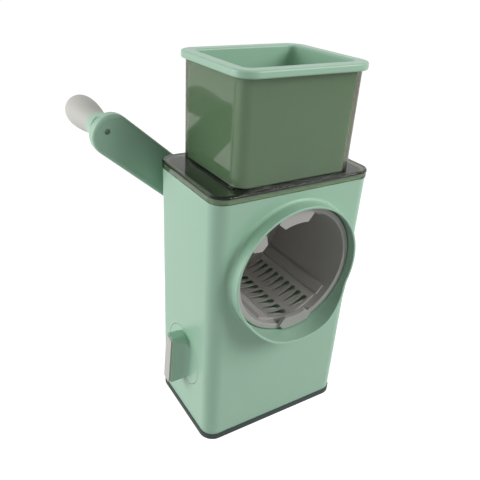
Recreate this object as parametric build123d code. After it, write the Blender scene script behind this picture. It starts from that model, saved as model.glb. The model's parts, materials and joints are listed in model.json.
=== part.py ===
"""Rotary cabbage shredder: a hand-cranked drum shredder on a suction base.

Millimetres. The origin is the centre of the base on the worktop, +Z is up. The round throat
looks along -Y, the crank is at the back (+Y) and the suction knob is on the left side (-X).
The drum, the crank and the rear bearing share one axis along Y.
"""
import math
import os

from build123d import *

os.makedirs("parts", exist_ok=True)

# ---- housing -------------------------------------------------------------------------------
BODY_WIDTH = 120.0          # across the front
BODY_DEPTH = 80.0           # front to back
BODY_CORNER = 10.0          # radius of the upright corners
SHELL_WALL = 2.4
PAD_HEIGHT = 4.6            # rubber base that shows under the housing
AXIS_HEIGHT = 136.5         # drum axis above the worktop
TOP_RISE = 55.0             # housing's upper face above the axis
LIP_RISE = 2.6              # lip inside the top edge that locates the hopper's flange
LIP_ROOT = 4.0              # how far the lip runs down the wall
LIP_WALL = 1.6

# ---- throat and drum chamber -----------------------------------------------------------------
CHAMBER_RADIUS = 46.6       # bore that the drum turns in
THROAT_WALL = 1.7
THROAT_REACH = 10.0         # how far the throat stands out of the front face
SPOUT_REACH = 19.5          # how far its lower lip stands out
SPOUT_START = 19.0          # depth below the axis where the lip begins to run forward
SPOUT_END = 42.0            # depth below the axis where it is at full reach
SPOUT_ROUND = 14.0          # radius of the two bends in the lip's side view
THROAT_ROOT = 2.4           # fillet where the throat meets the front face

# ---- drum ------------------------------------------------------------------------------------
DRUM_CLEARANCE = 0.6        # between collar and chamber
COLLAR_FRONT = 4.2          # how far the collar's face stands in front of the housing's face
COLLAR_LENGTH = 5.6
COLLAR_EDGE = 0.8           # rounding of the collar's front edges
DRUM_BORE = 42.0            # inner radius of the drum wall
DRUM_WALL = 2.0
PLATE_THICKNESS = 0.7
PLATE_CENTRE = -79.0        # angle of the lower plate's spine, from +X about the axis
PLATE_HALF_ANGLE = 31.0
PLATE_RAISE = 0.8           # plate's inner face above the drum wall
PLATE_GAP = 0.4             # seam round each plate
PLATE_LEDGE = 1.4           # width of the ledge that a plate sits on
BAND_ANGLE = 11.5           # width of the raised band beside each plate
BAND_HEIGHT = 1.8
TOOTH_PITCH = 7.2
TOOTH_WIDTH = 4.6           # slot that a tooth is punched from
TOOTH_RISE = 3.2            # how far a tooth's cutting end stands out
TOOTH_ANGLE = 20.8          # length of a tooth round the drum
SPINE_ANGLE = 6.4           # strip left between the two columns
TOOTH_CUT = 0.3             # width of the cut at a tooth's end and front side
TOOTH_GAP = 1.3             # and of the gap at its rear side
HUB_THICKNESS = 2.6
HUB_BOSS_RADIUS = 12.0
HUB_BOSS_LENGTH = 13.0
TAB_THICKNESS = 2.2
TAB_INNER = 36.6
TAB_OUTER = 45.4
GRIP_TAB_ANGLE = 37.0       # finger tabs at the top and bottom of the collar
GRIP_TAB_CENTRE = 96.5
LOCK_TAB_ANGLE = 18.0       # short tab beside the upper one
LOCK_TAB_CENTRE = 138.0
TAB_BEVEL = 3.0

# ---- drive -----------------------------------------------------------------------------------
SHAFT_RADIUS = 7.0
HEX_FLATS = 10.0            # hexagonal nose that enters the drum
HEX_LENGTH = 12.0
HEX_CLEARANCE = 0.08
SHAFT_COLLAR_RADIUS = 10.0
SHAFT_COLLAR_LENGTH = 2.0
WASHER_THICKNESS = 0.8
BUSH_WALL = 2.0
BUSH_CLEARANCE = 0.05
BUSH_FLANGE = 1.5
REAR_BOSS_RADIUS = 17.0
REAR_BOSS_LENGTH = 7.5      # stands out of the back face
ARM_GAP = 0.5               # between rear boss and crank arm
ARM_SQUARE = 8.5            # square end of the shaft, in the arm

# ---- crank -----------------------------------------------------------------------------------
ARM_LENGTH = 120.5          # drum axis to grip axis
ARM_ANGLE = 139.3           # resting angle, from +X about the axis
ARM_WIDTH = 28.6
ARM_THICKNESS = 10.0
ARM_END = 8.4               # arm beyond the grip axis
ARM_END_ROUND = 13.8
ARM_EDGE = 2.6              # rounding of the arm's edges
GRIP_BOSS_ROOT = 9.0
GRIP_BOSS_TIP = 8.5
GRIP_BOSS_LENGTH = 8.0
GRIP_GAP = 0.3
GRIP_LENGTH = 48.0
GRIP_NECK = 8.5
GRIP_BULB = 11.3
GRIP_END = 5.0              # radius where the grip's end turns flat
SPINDLE_RADIUS = 4.0
SPINDLE_CLEARANCE = 0.08
SPINDLE_SINK = 5.0          # screw head below the arm's front face
SCREW_HOLE = 2.0
GRIP_SCREW_SHANK = 1.2
HUB_CAP_RADIUS = 11.0
HUB_CAP_HEIGHT = 1.8
HUB_SCREW_HEAD = 4.6
HUB_SCREW_SHANK = 2.4
HUB_SCREW_LENGTH = 14.0

# ---- hopper and pusher -------------------------------------------------------------------------
HOPPER_INSET_X = 15.4       # housing's side face to the hopper's
HOPPER_INSET_Y = 2.8        # and the same at front and back
HOPPER_CORNER = 9.5
HOPPER_WALL = 2.4
HOPPER_RISE = 69.7          # hopper's top edge above the housing
FLANGE_HEIGHT = 5.5
FLANGE_WALL = 2.4           # thickness of the flange's plate and of its rim
FLANGE_LIP = 0.6            # flange beyond the housing
FLANGE_GAP = 0.15
FLANGE_EDGE = 1.2
SKIRT_DEPTH = 6.0           # skirt that locates the hopper in the chute
CHUTE_INSET = 3.5           # hopper's outer wall to chute's inner wall
CHUTE_WALL = 2.0
CHUTE_CORNER = 7.0
FIT_GAP = 0.3
PUSHER_GAP = 0.6
PUSHER_WALL = 2.6
PUSHER_DEPTH = 63.2
RIM_LIP_X = 2.7             # rim beyond the hopper's outer wall, at the sides
RIM_LIP_Y = 3.4             # and at front and back
RIM_THICKNESS = 4.7
RIM_EDGE = 1.3

# ---- suction base --------------------------------------------------------------------------------
KNOB_HEIGHT = 55.3
KNOB_RADIUS = 23.4
KNOB_TILT = 7.0             # resting tilt of the bar from upright
KNOB_BAR_LENGTH = 46.0
KNOB_BAR_WIDTH = 10.4
KNOB_BAR_ROOT = 20.0
KNOB_REACH = 13.1
INSERT_THICKNESS = 1.2
INSERT_BORDER = 1.0
CAM_RADIUS = 5.0
CAM_THROW = 3.2             # eccentric, swings from 45 below to 45 above level
CAM_PIN_RADIUS = 3.6
CAM_PIN_HALF = 8.5
CAM_BEARING_REACH = 22.0
STEM_RADIUS = 5.0
STEM_FOOT_RADIUS = 8.0
STEM_FOOT_Z = 10.2
STEM_FOOT_THICKNESS = 1.8
STEM_SPIGOT = 3.0
YOKE_HALF_Y = 11.5
YOKE_HALF_X = 7.0
YOKE_MARGIN = 4.0
SPRING_RADIUS = 6.0
SPRING_WIRE = 0.7
SPRING_TURNS = 5
MEMBRANE = 3.0
PAD_RIM = 8.0
PAD_BOSS_RADIUS = 9.5
PAD_BOSS_TOP = 10.0
PLATE_TOP = 20.0            # base plate, upper face
BASE_WALL = 2.0
SCREW_INSET = 8.5           # housing's faces to the base screws
SCREW_BOSS_RADIUS = 6.4
SCREW_BOSS_LENGTH = 30.0
SCREW_SHANK = 1.7
SCREW_HEAD = 2.8
SCREW_HEAD_HEIGHT = 2.0
SCREW_LENGTH = 12.0

# ---- derived places ------------------------------------------------------------------------------
BODY_TOP = AXIS_HEIGHT + TOP_RISE
FRONT = -BODY_DEPTH / 2
BACK = BODY_DEPTH / 2
BACK_INSIDE = BACK - SHELL_WALL
THROAT_RADIUS = CHAMBER_RADIUS + THROAT_WALL
COLLAR_RADIUS = CHAMBER_RADIUS - DRUM_CLEARANCE
COLLAR_FACE = FRONT - COLLAR_FRONT
COLLAR_BACK = COLLAR_FACE + COLLAR_LENGTH
DRUM_OUTER = DRUM_BORE + DRUM_WALL
BOSS_BACK = BACK + REAR_BOSS_LENGTH
ARM_FRONT = BOSS_BACK + ARM_GAP
ARM_BACK = ARM_FRONT + ARM_THICKNESS
BUSH_RADIUS = SHAFT_RADIUS + BUSH_CLEARANCE + BUSH_WALL
BUSH_FRONT = BACK_INSIDE - BUSH_FLANGE
SHAFT_FRONT = BUSH_FRONT - WASHER_THICKNESS - SHAFT_COLLAR_LENGTH
HUB_BACK = SHAFT_FRONT - FIT_GAP
DRUM_BACK = HUB_BACK - HUB_THICKNESS
PLATE_RADIUS = DRUM_BORE - PLATE_RAISE
GRIP_X = ARM_LENGTH * math.cos(math.radians(ARM_ANGLE))
GRIP_Z = AXIS_HEIGHT + ARM_LENGTH * math.sin(math.radians(ARM_ANGLE))
GRIP_FRONT = ARM_BACK + GRIP_BOSS_LENGTH + GRIP_GAP
FLANGE_BOTTOM = BODY_TOP + FLANGE_GAP
FLANGE_TOP = FLANGE_BOTTOM + FLANGE_HEIGHT
HOPPER_HALF_X = BODY_WIDTH / 2 - HOPPER_INSET_X
HOPPER_HALF_Y = BODY_DEPTH / 2 - HOPPER_INSET_Y
HOPPER_TOP = BODY_TOP + HOPPER_RISE
PUSHER_FLOOR = HOPPER_TOP - PUSHER_DEPTH
CHUTE_HALF_X = HOPPER_HALF_X - CHUTE_INSET
CHUTE_HALF_Y = HOPPER_HALF_Y - CHUTE_INSET
PUSHER_HALF_X = HOPPER_HALF_X - HOPPER_WALL - PUSHER_GAP
PUSHER_HALF_Y = HOPPER_HALF_Y - HOPPER_WALL - PUSHER_GAP
PUSHER_CORNER = HOPPER_CORNER - HOPPER_WALL - PUSHER_GAP
LEFT = -BODY_WIDTH / 2
KNOB_RECESS = SHELL_WALL + FIT_GAP
CAM_LOW_Y = CAM_THROW * math.cos(math.radians(45))
CAM_LOW_Z = KNOB_HEIGHT - CAM_THROW * math.sin(math.radians(45))
STEM_LIFT = 2 * CAM_THROW * math.sin(math.radians(45))


# ---- shapes that several pieces use ----------------------------------------------------------------
def rounded_block(half_x, half_y, corner, bottom, top):
    """Upright block with rounded corners."""
    outline = RectangleRounded(2 * half_x, 2 * half_y, corner)
    return extrude(Pos(0, 0, bottom) * outline, top - bottom)


def drum_rod(radius, front, back, x=0.0, z=AXIS_HEIGHT):
    """Round bar along Y."""
    return Pos(x, (front + back) / 2, z) * Rot(90, 0, 0) * Cylinder(radius, back - front)


def post(radius, bottom, top, x=0.0, y=0.0):
    """Round bar along Z."""
    return Pos(x, y, (bottom + top) / 2) * Cylinder(radius, top - bottom)


def side_rod(radius, left, right, y=0.0, z=KNOB_HEIGHT):
    """Round bar along X."""
    return Pos((left + right) / 2, y, z) * Rot(0, 90, 0) * Cylinder(radius, right - left)


def about_axis(angle, radius=0.0):
    """Point on a circle about the drum axis, in the XZ plane."""
    turn = math.radians(angle)
    return radius * math.cos(turn), radius * math.sin(turn)


def drum_plane(y):
    """Plane square to the drum axis whose local X and Y are the object's X and Z."""
    return Plane(origin=(0, y, AXIS_HEIGHT), x_dir=(1, 0, 0), z_dir=(0, -1, 0))


def ring_sector(inner, outer, centre, half_angle, front, back):
    """Curved strip of a tube about the drum axis."""
    low, high = centre - half_angle, centre + half_angle
    edge_in = CenterArc((0, 0), inner, low, high - low)
    edge_out = CenterArc((0, 0), outer, low, high - low)
    sides = [Line(about_axis(a, inner), about_axis(a, outer)) for a in (low, high)]
    face = make_face([edge_in, edge_out, *sides])
    return extrude(drum_plane(back) * face, back - front)


# ---- housing ---------------------------------------------------------------------------------------
def spout_cutter():
    """Everything in front of the throat's lip, seen from the side."""
    upper = FRONT - THROAT_REACH
    lower = FRONT - SPOUT_REACH
    reach = 2 * THROAT_RADIUS
    lip = FilletPolyline(
        (upper, reach),
        (upper, -SPOUT_START),
        (lower, -SPOUT_END),
        (lower, -reach),
        radius=SPOUT_ROUND,
    )
    frame = Polyline((lower, -reach), (lower - reach, -reach), (lower - reach, reach), (upper, reach))
    side_view = Plane(origin=(0, 0, AXIS_HEIGHT), x_dir=(0, 1, 0), z_dir=(1, 0, 0))
    return extrude(side_view * make_face([*lip.edges(), *frame.edges()]), reach, both=True)


def throat_root():
    """Hollow fillet where the throat leaves the front face."""
    top = THROAT_RADIUS + THROAT_ROOT
    curve = RadiusArc((THROAT_RADIUS, -THROAT_ROOT), (top, 0), THROAT_ROOT)
    sides = Polyline((top, 0), (CHAMBER_RADIUS, 0), (CHAMBER_RADIUS, -THROAT_ROOT),
                     (THROAT_RADIUS, -THROAT_ROOT))
    ring = revolve(make_face([curve, *sides.edges()]), Axis.Y)
    return Pos(0, FRONT, AXIS_HEIGHT) * ring


def chute_opening():
    """Space inside the chute, from the drum up through the deck."""
    return rounded_block(CHUTE_HALF_X, CHUTE_HALF_Y, CHUTE_CORNER, AXIS_HEIGHT, BODY_TOP + 1)


def make_drum_chamber():
    """Tube that the drum turns in, with the throat, its spout lip and the chute that opens into it."""
    tube = drum_rod(THROAT_RADIUS, FRONT - SPOUT_REACH - 1, BACK_INSIDE) + throat_root()
    tube -= spout_cutter()
    tube += rounded_block(CHUTE_HALF_X + CHUTE_WALL, CHUTE_HALF_Y + CHUTE_WALL,
                          CHUTE_CORNER + CHUTE_WALL, AXIS_HEIGHT, BODY_TOP)
    tube -= drum_rod(CHAMBER_RADIUS, FRONT - SPOUT_REACH - 1, BACK_INSIDE + 1)
    return tube - chute_opening()


def screw_places():
    """Four corners of the base where screws go."""
    x, y = BODY_WIDTH / 2 - SCREW_INSET, BODY_DEPTH / 2 - SCREW_INSET
    return [(-x, -y), (-x, y), (x, -y), (x, y)]


def make_housing():
    """Tower with the lip for the hopper, rear boss, knob recess and screw bosses."""
    half_x, half_y = BODY_WIDTH / 2, BODY_DEPTH / 2
    lip_inset = FLANGE_WALL - FLANGE_LIP + FIT_GAP
    body = rounded_block(half_x, half_y, BODY_CORNER, PAD_HEIGHT, BODY_TOP)
    body += rounded_block(half_x - lip_inset, half_y - lip_inset, BODY_CORNER - lip_inset,
                          BODY_TOP - LIP_ROOT, BODY_TOP + LIP_RISE)
    body -= rounded_block(half_x - SHELL_WALL, half_y - SHELL_WALL, BODY_CORNER - SHELL_WALL,
                          PAD_HEIGHT - 1, BODY_TOP - LIP_ROOT)
    inner_inset = lip_inset + LIP_WALL
    body -= rounded_block(half_x - inner_inset, half_y - inner_inset, BODY_CORNER - inner_inset,
                          BODY_TOP - LIP_ROOT - 1, BODY_TOP + LIP_RISE + 1)
    body += drum_rod(REAR_BOSS_RADIUS, BACK_INSIDE, BOSS_BACK)
    body += side_rod(KNOB_RADIUS + 2 * SHELL_WALL, LEFT + SHELL_WALL / 2, LEFT + 2 * SHELL_WALL)
    body += side_rod(CAM_RADIUS + SHELL_WALL, LEFT + SHELL_WALL, LEFT + CAM_BEARING_REACH)
    top_of_boss = PLATE_TOP + SCREW_BOSS_LENGTH
    for x, y in screw_places():
        body += post(SCREW_BOSS_RADIUS, PLATE_TOP, top_of_boss, x, y)
    body -= drum_rod(THROAT_RADIUS, FRONT - 1, BACK_INSIDE)
    body -= drum_rod(BUSH_RADIUS, BACK_INSIDE - 1, BOSS_BACK + 1)
    body -= side_rod(KNOB_RADIUS + FIT_GAP, LEFT - 1, LEFT + KNOB_RECESS)
    body -= side_rod(CAM_RADIUS + BUSH_CLEARANCE, LEFT - 1, LEFT + CAM_BEARING_REACH + 1)
    for x, y in screw_places():
        body -= post(SCREW_SHANK + BUSH_CLEARANCE, PLATE_TOP - 1, PLATE_TOP + SCREW_LENGTH, x, y)
    return body


# ---- drum ------------------------------------------------------------------------------------------
def tab(centre, angle):
    """Finger tab on the collar's face, a tongue with bevelled inner corners."""
    half = angle / 2
    bevel = math.degrees(TAB_BEVEL / TAB_INNER)
    corners = [about_axis(centre - half, TAB_OUTER - TAB_BEVEL)]
    corners += [about_axis(centre - half + bevel, TAB_INNER)]
    corners += [about_axis(centre + half - bevel, TAB_INNER)]
    corners += [about_axis(centre + half, TAB_OUTER - TAB_BEVEL)]
    corners += [about_axis(centre + half - bevel, TAB_OUTER)]
    corners += [about_axis(centre - half + bevel, TAB_OUTER)]
    inner = CenterArc((0, 0), TAB_INNER, centre - half + bevel, angle - 2 * bevel)
    outer = CenterArc((0, 0), TAB_OUTER, centre - half + bevel, angle - 2 * bevel)
    right = Polyline(corners[5], corners[0], corners[1])
    left = Polyline(corners[2], corners[3], corners[4])
    face = make_face([inner, outer, *right.edges(), *left.edges()])
    return extrude(drum_plane(COLLAR_FACE + COLLAR_EDGE) * face, TAB_THICKNESS + COLLAR_EDGE)


def make_drum_collar():
    """Front ring of the drum with three tabs."""
    ring = drum_rod(COLLAR_RADIUS, COLLAR_FACE, COLLAR_BACK)
    ring -= drum_rod(DRUM_BORE, COLLAR_FACE - 1, COLLAR_BACK + 1)
    ring = fillet(ring.edges().group_by(Axis.Y)[0], COLLAR_EDGE)
    ring += tab(GRIP_TAB_CENTRE, GRIP_TAB_ANGLE)
    ring += tab(GRIP_TAB_CENTRE - 180, GRIP_TAB_ANGLE)
    ring += tab(LOCK_TAB_CENTRE, LOCK_TAB_ANGLE)
    return ring


def plate_centres():
    """Angles of the two shredding plates, opposite each other."""
    return {"lower": PLATE_CENTRE, "upper": PLATE_CENTRE + 180}


def plate_span():
    """Front and back ends of the shredding plates."""
    middle = (COLLAR_BACK + DRUM_BACK) / 2
    half = (DRUM_BACK - COLLAR_BACK) / 2 - PLATE_LEDGE
    return middle - half, middle + half


def make_drum_frame():
    """Drum wall with a window and a ledge for each plate and a raised band on both sides of it."""
    wall = drum_rod(DRUM_OUTER, COLLAR_BACK, DRUM_BACK)
    wall -= drum_rod(DRUM_BORE, COLLAR_BACK - 1, DRUM_BACK + 1)
    front, back = plate_span()
    ledge_angle = math.degrees(PLATE_LEDGE / DRUM_BORE)
    seat = PLATE_RADIUS + PLATE_THICKNESS
    half = PLATE_HALF_ANGLE + BAND_ANGLE
    for centre in plate_centres().values():
        wall += ring_sector(DRUM_BORE - BAND_HEIGHT, DRUM_BORE + DRUM_WALL / 2, centre, half,
                            COLLAR_BACK, DRUM_BACK)
        wall -= ring_sector(DRUM_BORE - 2 * BAND_HEIGHT, seat, centre, PLATE_HALF_ANGLE,
                            COLLAR_BACK - 1, back + PLATE_GAP)
        wall -= ring_sector(DRUM_BORE - 2 * BAND_HEIGHT, DRUM_OUTER + 1, centre,
                            PLATE_HALF_ANGLE - ledge_angle, front + PLATE_LEDGE, back - PLATE_LEDGE)
    return wall


def tooth_angles(centre):
    """Start and end of the two tooth columns of a plate. A tooth opens at its higher angle."""
    starts = (centre - SPINE_ANGLE / 2 - TOOTH_ANGLE, centre + SPINE_ANGLE / 2)
    return [(start, start + TOOTH_ANGLE) for start in starts]


def tooth_places():
    """Middle of each tooth along the drum."""
    front, back = plate_span()
    middle = (front + back) / 2
    room = back - front - 2 * PLATE_LEDGE - TOOTH_WIDTH
    steps = int(room / TOOTH_PITCH)
    return [middle + (i - steps / 2) * TOOTH_PITCH for i in range(steps + 1)]


def tooth_ramp(start, end, y):
    """Tongue of the plate that runs outward from its root to its cutting end."""
    low, high = start, end - math.degrees(TOOTH_CUT / PLATE_RADIUS)
    middle = (low + high) / 2
    outlines = []
    for radius in (PLATE_RADIUS, PLATE_RADIUS + PLATE_THICKNESS):
        points = [about_axis(low, radius), about_axis(middle, radius + TOOTH_RISE / 3),
                  about_axis(high, radius + TOOTH_RISE)]
        outlines.append(points)
    inner = ThreePointArc(*outlines[0])
    outer = ThreePointArc(*outlines[1])
    ends = [Line(outlines[0][i], outlines[1][i]) for i in (0, 2)]
    face = make_face([inner, outer, *ends])
    rear = y + TOOTH_WIDTH / 2 - TOOTH_GAP
    return extrude(drum_plane(rear) * face, TOOTH_WIDTH - TOOTH_CUT - TOOTH_GAP)


def make_shredding_plate(centre):
    """Curved plate with two columns of punched teeth."""
    front, back = plate_span()
    edge = math.degrees(PLATE_GAP / PLATE_RADIUS)
    plate = ring_sector(PLATE_RADIUS, PLATE_RADIUS + PLATE_THICKNESS, centre,
                        PLATE_HALF_ANGLE - edge, front, back)
    slots, teeth = [], []
    for start, end in tooth_angles(centre):
        for y in tooth_places():
            slots.append(ring_sector(PLATE_RADIUS - 1, DRUM_OUTER, (start + end) / 2, TOOTH_ANGLE / 2,
                                     y - TOOTH_WIDTH / 2, y + TOOTH_WIDTH / 2))
            teeth.append(tooth_ramp(start, end, y))
    plate -= slots
    plate += teeth
    return plate


def make_drum_hub():
    """Rear disc of the drum with a boss and a hexagonal socket."""
    disc = drum_rod(DRUM_OUTER, DRUM_BACK, HUB_BACK)
    disc += drum_rod(HUB_BOSS_RADIUS, DRUM_BACK - HUB_BOSS_LENGTH, DRUM_BACK)
    socket = RegularPolygon(HEX_FLATS / 2 + HEX_CLEARANCE, 6, major_radius=False)
    return disc - extrude(drum_plane(HUB_BACK) * socket, HEX_LENGTH)


# ---- drive -----------------------------------------------------------------------------------------
def make_rear_bush():
    """Flanged bearing bush in the rear boss."""
    bush = drum_rod(BUSH_RADIUS, BACK_INSIDE, BOSS_BACK)
    bush += drum_rod(BUSH_RADIUS + BUSH_WALL, BUSH_FRONT, BACK_INSIDE)
    return bush - drum_rod(SHAFT_RADIUS + BUSH_CLEARANCE, BUSH_FRONT - 1, BOSS_BACK + 1)


def make_thrust_washer():
    """Washer between the bush's flange and the shaft's collar."""
    front = BUSH_FRONT - WASHER_THICKNESS
    ring = drum_rod(SHAFT_COLLAR_RADIUS, front, BUSH_FRONT - BUSH_CLEARANCE)
    return ring - drum_rod(SHAFT_RADIUS, front - 1, BUSH_FRONT + 1)


def make_crank_shaft():
    """Hexagonal nose, collar, journal and the square that carries the arm."""
    collar_back = SHAFT_FRONT + SHAFT_COLLAR_LENGTH
    hexagon = RegularPolygon(HEX_FLATS / 2, 6, major_radius=False)
    shaft = extrude(drum_plane(SHAFT_FRONT) * hexagon, HEX_LENGTH)
    shaft += drum_rod(SHAFT_COLLAR_RADIUS, SHAFT_FRONT, collar_back)
    shaft += drum_rod(SHAFT_RADIUS, collar_back, ARM_FRONT)
    square = Rectangle(ARM_SQUARE, ARM_SQUARE, rotation=ARM_ANGLE)
    end = ARM_BACK - HUB_CAP_HEIGHT * 2
    shaft += extrude(drum_plane(end) * square, end - ARM_FRONT)
    return shaft - drum_rod(HUB_SCREW_SHANK, end - HUB_SCREW_LENGTH, end + 1)


def make_hub_screw():
    """Screw that holds the arm on the shaft."""
    end = ARM_BACK - HUB_CAP_HEIGHT * 2
    head = drum_rod(HUB_SCREW_HEAD, end, ARM_BACK - HUB_CAP_HEIGHT)
    return head + drum_rod(HUB_SCREW_SHANK, end - HUB_SCREW_LENGTH + 1, end)


def make_hub_cap():
    """Round cap over the hub screw."""
    cap = drum_rod(HUB_CAP_RADIUS, ARM_BACK - HUB_CAP_HEIGHT, ARM_BACK + HUB_CAP_HEIGHT)
    return fillet(cap.edges().group_by(Axis.Y)[-1], HUB_CAP_HEIGHT * 0.8)


# ---- crank -----------------------------------------------------------------------------------------
def make_crank_arm():
    """Flat bar with rounded ends and edges and the boss that the grip sits on."""
    length = ARM_LENGTH + ARM_END
    half = ARM_WIDTH / 2
    bar = Pos(length / 2, 0) * Rectangle(length, ARM_WIDTH)
    bar = fillet(bar.vertices().group_by(Axis.X)[-1], ARM_END_ROUND)
    outline = bar + Circle(half)
    arm = extrude(drum_plane(ARM_BACK) * (Rot(0, 0, ARM_ANGLE) * outline), ARM_THICKNESS)
    arm = fillet(arm.edges().group_by(Axis.Y)[0] + arm.edges().group_by(Axis.Y)[-1], ARM_EDGE)
    boss_length = ARM_EDGE + GRIP_BOSS_LENGTH
    boss = Cone(GRIP_BOSS_ROOT, GRIP_BOSS_TIP, boss_length)
    arm += Pos(GRIP_X, ARM_BACK - ARM_EDGE + boss_length / 2, GRIP_Z) * Rot(-90, 0, 0) * boss
    spindle_front = ARM_FRONT + SPINDLE_SINK + SCREW_HEAD_HEIGHT
    arm -= drum_rod(SPINDLE_RADIUS, spindle_front, ARM_BACK + GRIP_BOSS_LENGTH + 1, GRIP_X, GRIP_Z)
    arm -= drum_rod(SCREW_HOLE, ARM_FRONT - 1, spindle_front + 1, GRIP_X, GRIP_Z)
    end = ARM_BACK - HUB_CAP_HEIGHT * 2
    square = Rectangle(ARM_SQUARE, ARM_SQUARE, rotation=ARM_ANGLE)
    arm -= extrude(drum_plane(end) * square, end - ARM_FRONT + 1)
    arm -= drum_rod(HUB_SCREW_HEAD, end, ARM_BACK, 0)
    arm -= drum_rod(HUB_CAP_RADIUS, ARM_BACK - HUB_CAP_HEIGHT, ARM_BACK + 1)
    return arm


def make_grip():
    """Waisted grip, turned about its spindle."""
    neck = 0.1 * GRIP_LENGTH
    widest = 0.66 * GRIP_LENGTH
    bore = SPINDLE_RADIUS + SPINDLE_CLEARANCE
    start = GRIP_BOSS_TIP - GRIP_GAP
    outline = Spline(
        (start, 0),
        (GRIP_NECK, neck),
        (GRIP_BULB, widest),
        (GRIP_END, GRIP_LENGTH),
        tangents=((0, 1), (-1, 0.12)),
    )
    closing = Polyline((GRIP_END, GRIP_LENGTH), (0, GRIP_LENGTH), (0, 0), (start, 0))
    profile = make_face([outline, *closing.edges()])
    body = revolve(Plane.XZ * profile, Axis.Z)
    body = Pos(GRIP_X, GRIP_FRONT, GRIP_Z) * Rot(-90, 0, 0) * body
    depth = 0.8 * GRIP_LENGTH
    return body - drum_rod(bore, GRIP_FRONT - 1, GRIP_FRONT + depth, GRIP_X, GRIP_Z)


def make_grip_spindle():
    """Steel pin, pressed in the arm, that the grip turns on."""
    front = ARM_FRONT + SPINDLE_SINK + SCREW_HEAD_HEIGHT
    back = GRIP_FRONT + 0.8 * GRIP_LENGTH - GRIP_GAP
    pin = drum_rod(SPINDLE_RADIUS, front, back, GRIP_X, GRIP_Z)
    return pin - drum_rod(GRIP_SCREW_SHANK, front - 1, front + SCREW_LENGTH, GRIP_X, GRIP_Z)


def make_grip_screw():
    """Screw sunk in the arm that holds the spindle."""
    front = ARM_FRONT + SPINDLE_SINK
    head = drum_rod(SCREW_HOLE, front, front + SCREW_HEAD_HEIGHT, GRIP_X, GRIP_Z)
    back = front + SCREW_HEAD_HEIGHT + SCREW_LENGTH - 1
    return head + drum_rod(GRIP_SCREW_SHANK, front + SCREW_HEAD_HEIGHT, back, GRIP_X, GRIP_Z)


# ---- hopper and pusher -------------------------------------------------------------------------------
def make_hopper():
    """Square tube, hollow flange and locating skirt in one moulding."""
    half_x, half_y = BODY_WIDTH / 2 + FLANGE_LIP, BODY_DEPTH / 2 + FLANGE_LIP
    corner = BODY_CORNER + FLANGE_LIP
    body = rounded_block(half_x, half_y, corner, FLANGE_BOTTOM, FLANGE_TOP)
    body = fillet(body.edges().group_by(Axis.Z)[-1], FLANGE_EDGE)
    body -= rounded_block(half_x - FLANGE_WALL, half_y - FLANGE_WALL, corner - FLANGE_WALL,
                          FLANGE_BOTTOM - 1, FLANGE_TOP - FLANGE_WALL)
    body += rounded_block(HOPPER_HALF_X, HOPPER_HALF_Y, HOPPER_CORNER,
                          FLANGE_TOP - FLANGE_WALL, HOPPER_TOP)
    skirt = (CHUTE_HALF_X - FIT_GAP, CHUTE_HALF_Y - FIT_GAP, CHUTE_CORNER - FIT_GAP)
    body += rounded_block(*skirt, FLANGE_BOTTOM - SKIRT_DEPTH, FLANGE_TOP)
    body -= rounded_block(*[size - CHUTE_WALL for size in skirt],
                          FLANGE_BOTTOM - SKIRT_DEPTH - 1, FLANGE_TOP)
    body -= rounded_block(HOPPER_HALF_X - HOPPER_WALL, HOPPER_HALF_Y - HOPPER_WALL,
                          HOPPER_CORNER - HOPPER_WALL, FLANGE_TOP, HOPPER_TOP + 1)
    return body


def make_pusher():
    """Open cup with an overhanging rounded rim."""
    rim_bottom = HOPPER_TOP + FLANGE_GAP
    rim_top = rim_bottom + RIM_THICKNESS
    cup = rounded_block(PUSHER_HALF_X, PUSHER_HALF_Y, PUSHER_CORNER, PUSHER_FLOOR, rim_bottom)
    rim = rounded_block(HOPPER_HALF_X + RIM_LIP_X, HOPPER_HALF_Y + RIM_LIP_Y,
                        HOPPER_CORNER + RIM_LIP_X, rim_bottom, rim_top)
    rim = fillet(rim.edges().group_by(Axis.Z)[-1] + rim.edges().group_by(Axis.Z)[0], RIM_EDGE)
    hollow = rounded_block(PUSHER_HALF_X - PUSHER_WALL, PUSHER_HALF_Y - PUSHER_WALL,
                           PUSHER_CORNER - PUSHER_WALL / 2, PUSHER_FLOOR + PUSHER_WALL, rim_top + 1)
    cup = cup + rim - hollow
    inner_edges = [edge for edge in cup.edges().group_by(Axis.Z)[-1]
                   if abs(edge.center().X) < PUSHER_HALF_X and abs(edge.center().Y) < PUSHER_HALF_Y]
    return fillet(inner_edges, RIM_EDGE)


# ---- suction base ------------------------------------------------------------------------------------
def knob_place():
    """Frame on the left face at the knob's centre: local X is along Y, local Y is up, Z is outward."""
    return Plane(origin=(LEFT, 0, KNOB_HEIGHT), x_dir=(0, -1, 0), z_dir=(-1, 0, 0))


def bar_outline(width, length, corner):
    """Outline of the knob's bar at its resting tilt."""
    return Rot(0, 0, -KNOB_TILT) * RectangleRounded(width, length, corner)


def make_suction_knob():
    """Flush disc with a bar that flares at its root."""
    disc = side_rod(KNOB_RADIUS, LEFT, LEFT + SHELL_WALL)
    place = knob_place()
    root = place * bar_outline(KNOB_BAR_ROOT, KNOB_BAR_LENGTH - 4, KNOB_BAR_ROOT / 2 - 0.5)
    bar_face = KNOB_REACH - INSERT_THICKNESS
    low = place.offset(KNOB_REACH / 3) * bar_outline(KNOB_BAR_WIDTH * 1.25, KNOB_BAR_LENGTH - 1, 4.5)
    tip = place.offset(bar_face) * bar_outline(KNOB_BAR_WIDTH, KNOB_BAR_LENGTH, 2.5)
    flare = loft([root, low]) + loft([low, tip])
    knob = disc + flare
    return knob - side_rod(CAM_RADIUS - 1, LEFT + SHELL_WALL / 2, LEFT + SHELL_WALL + 1)


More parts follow.
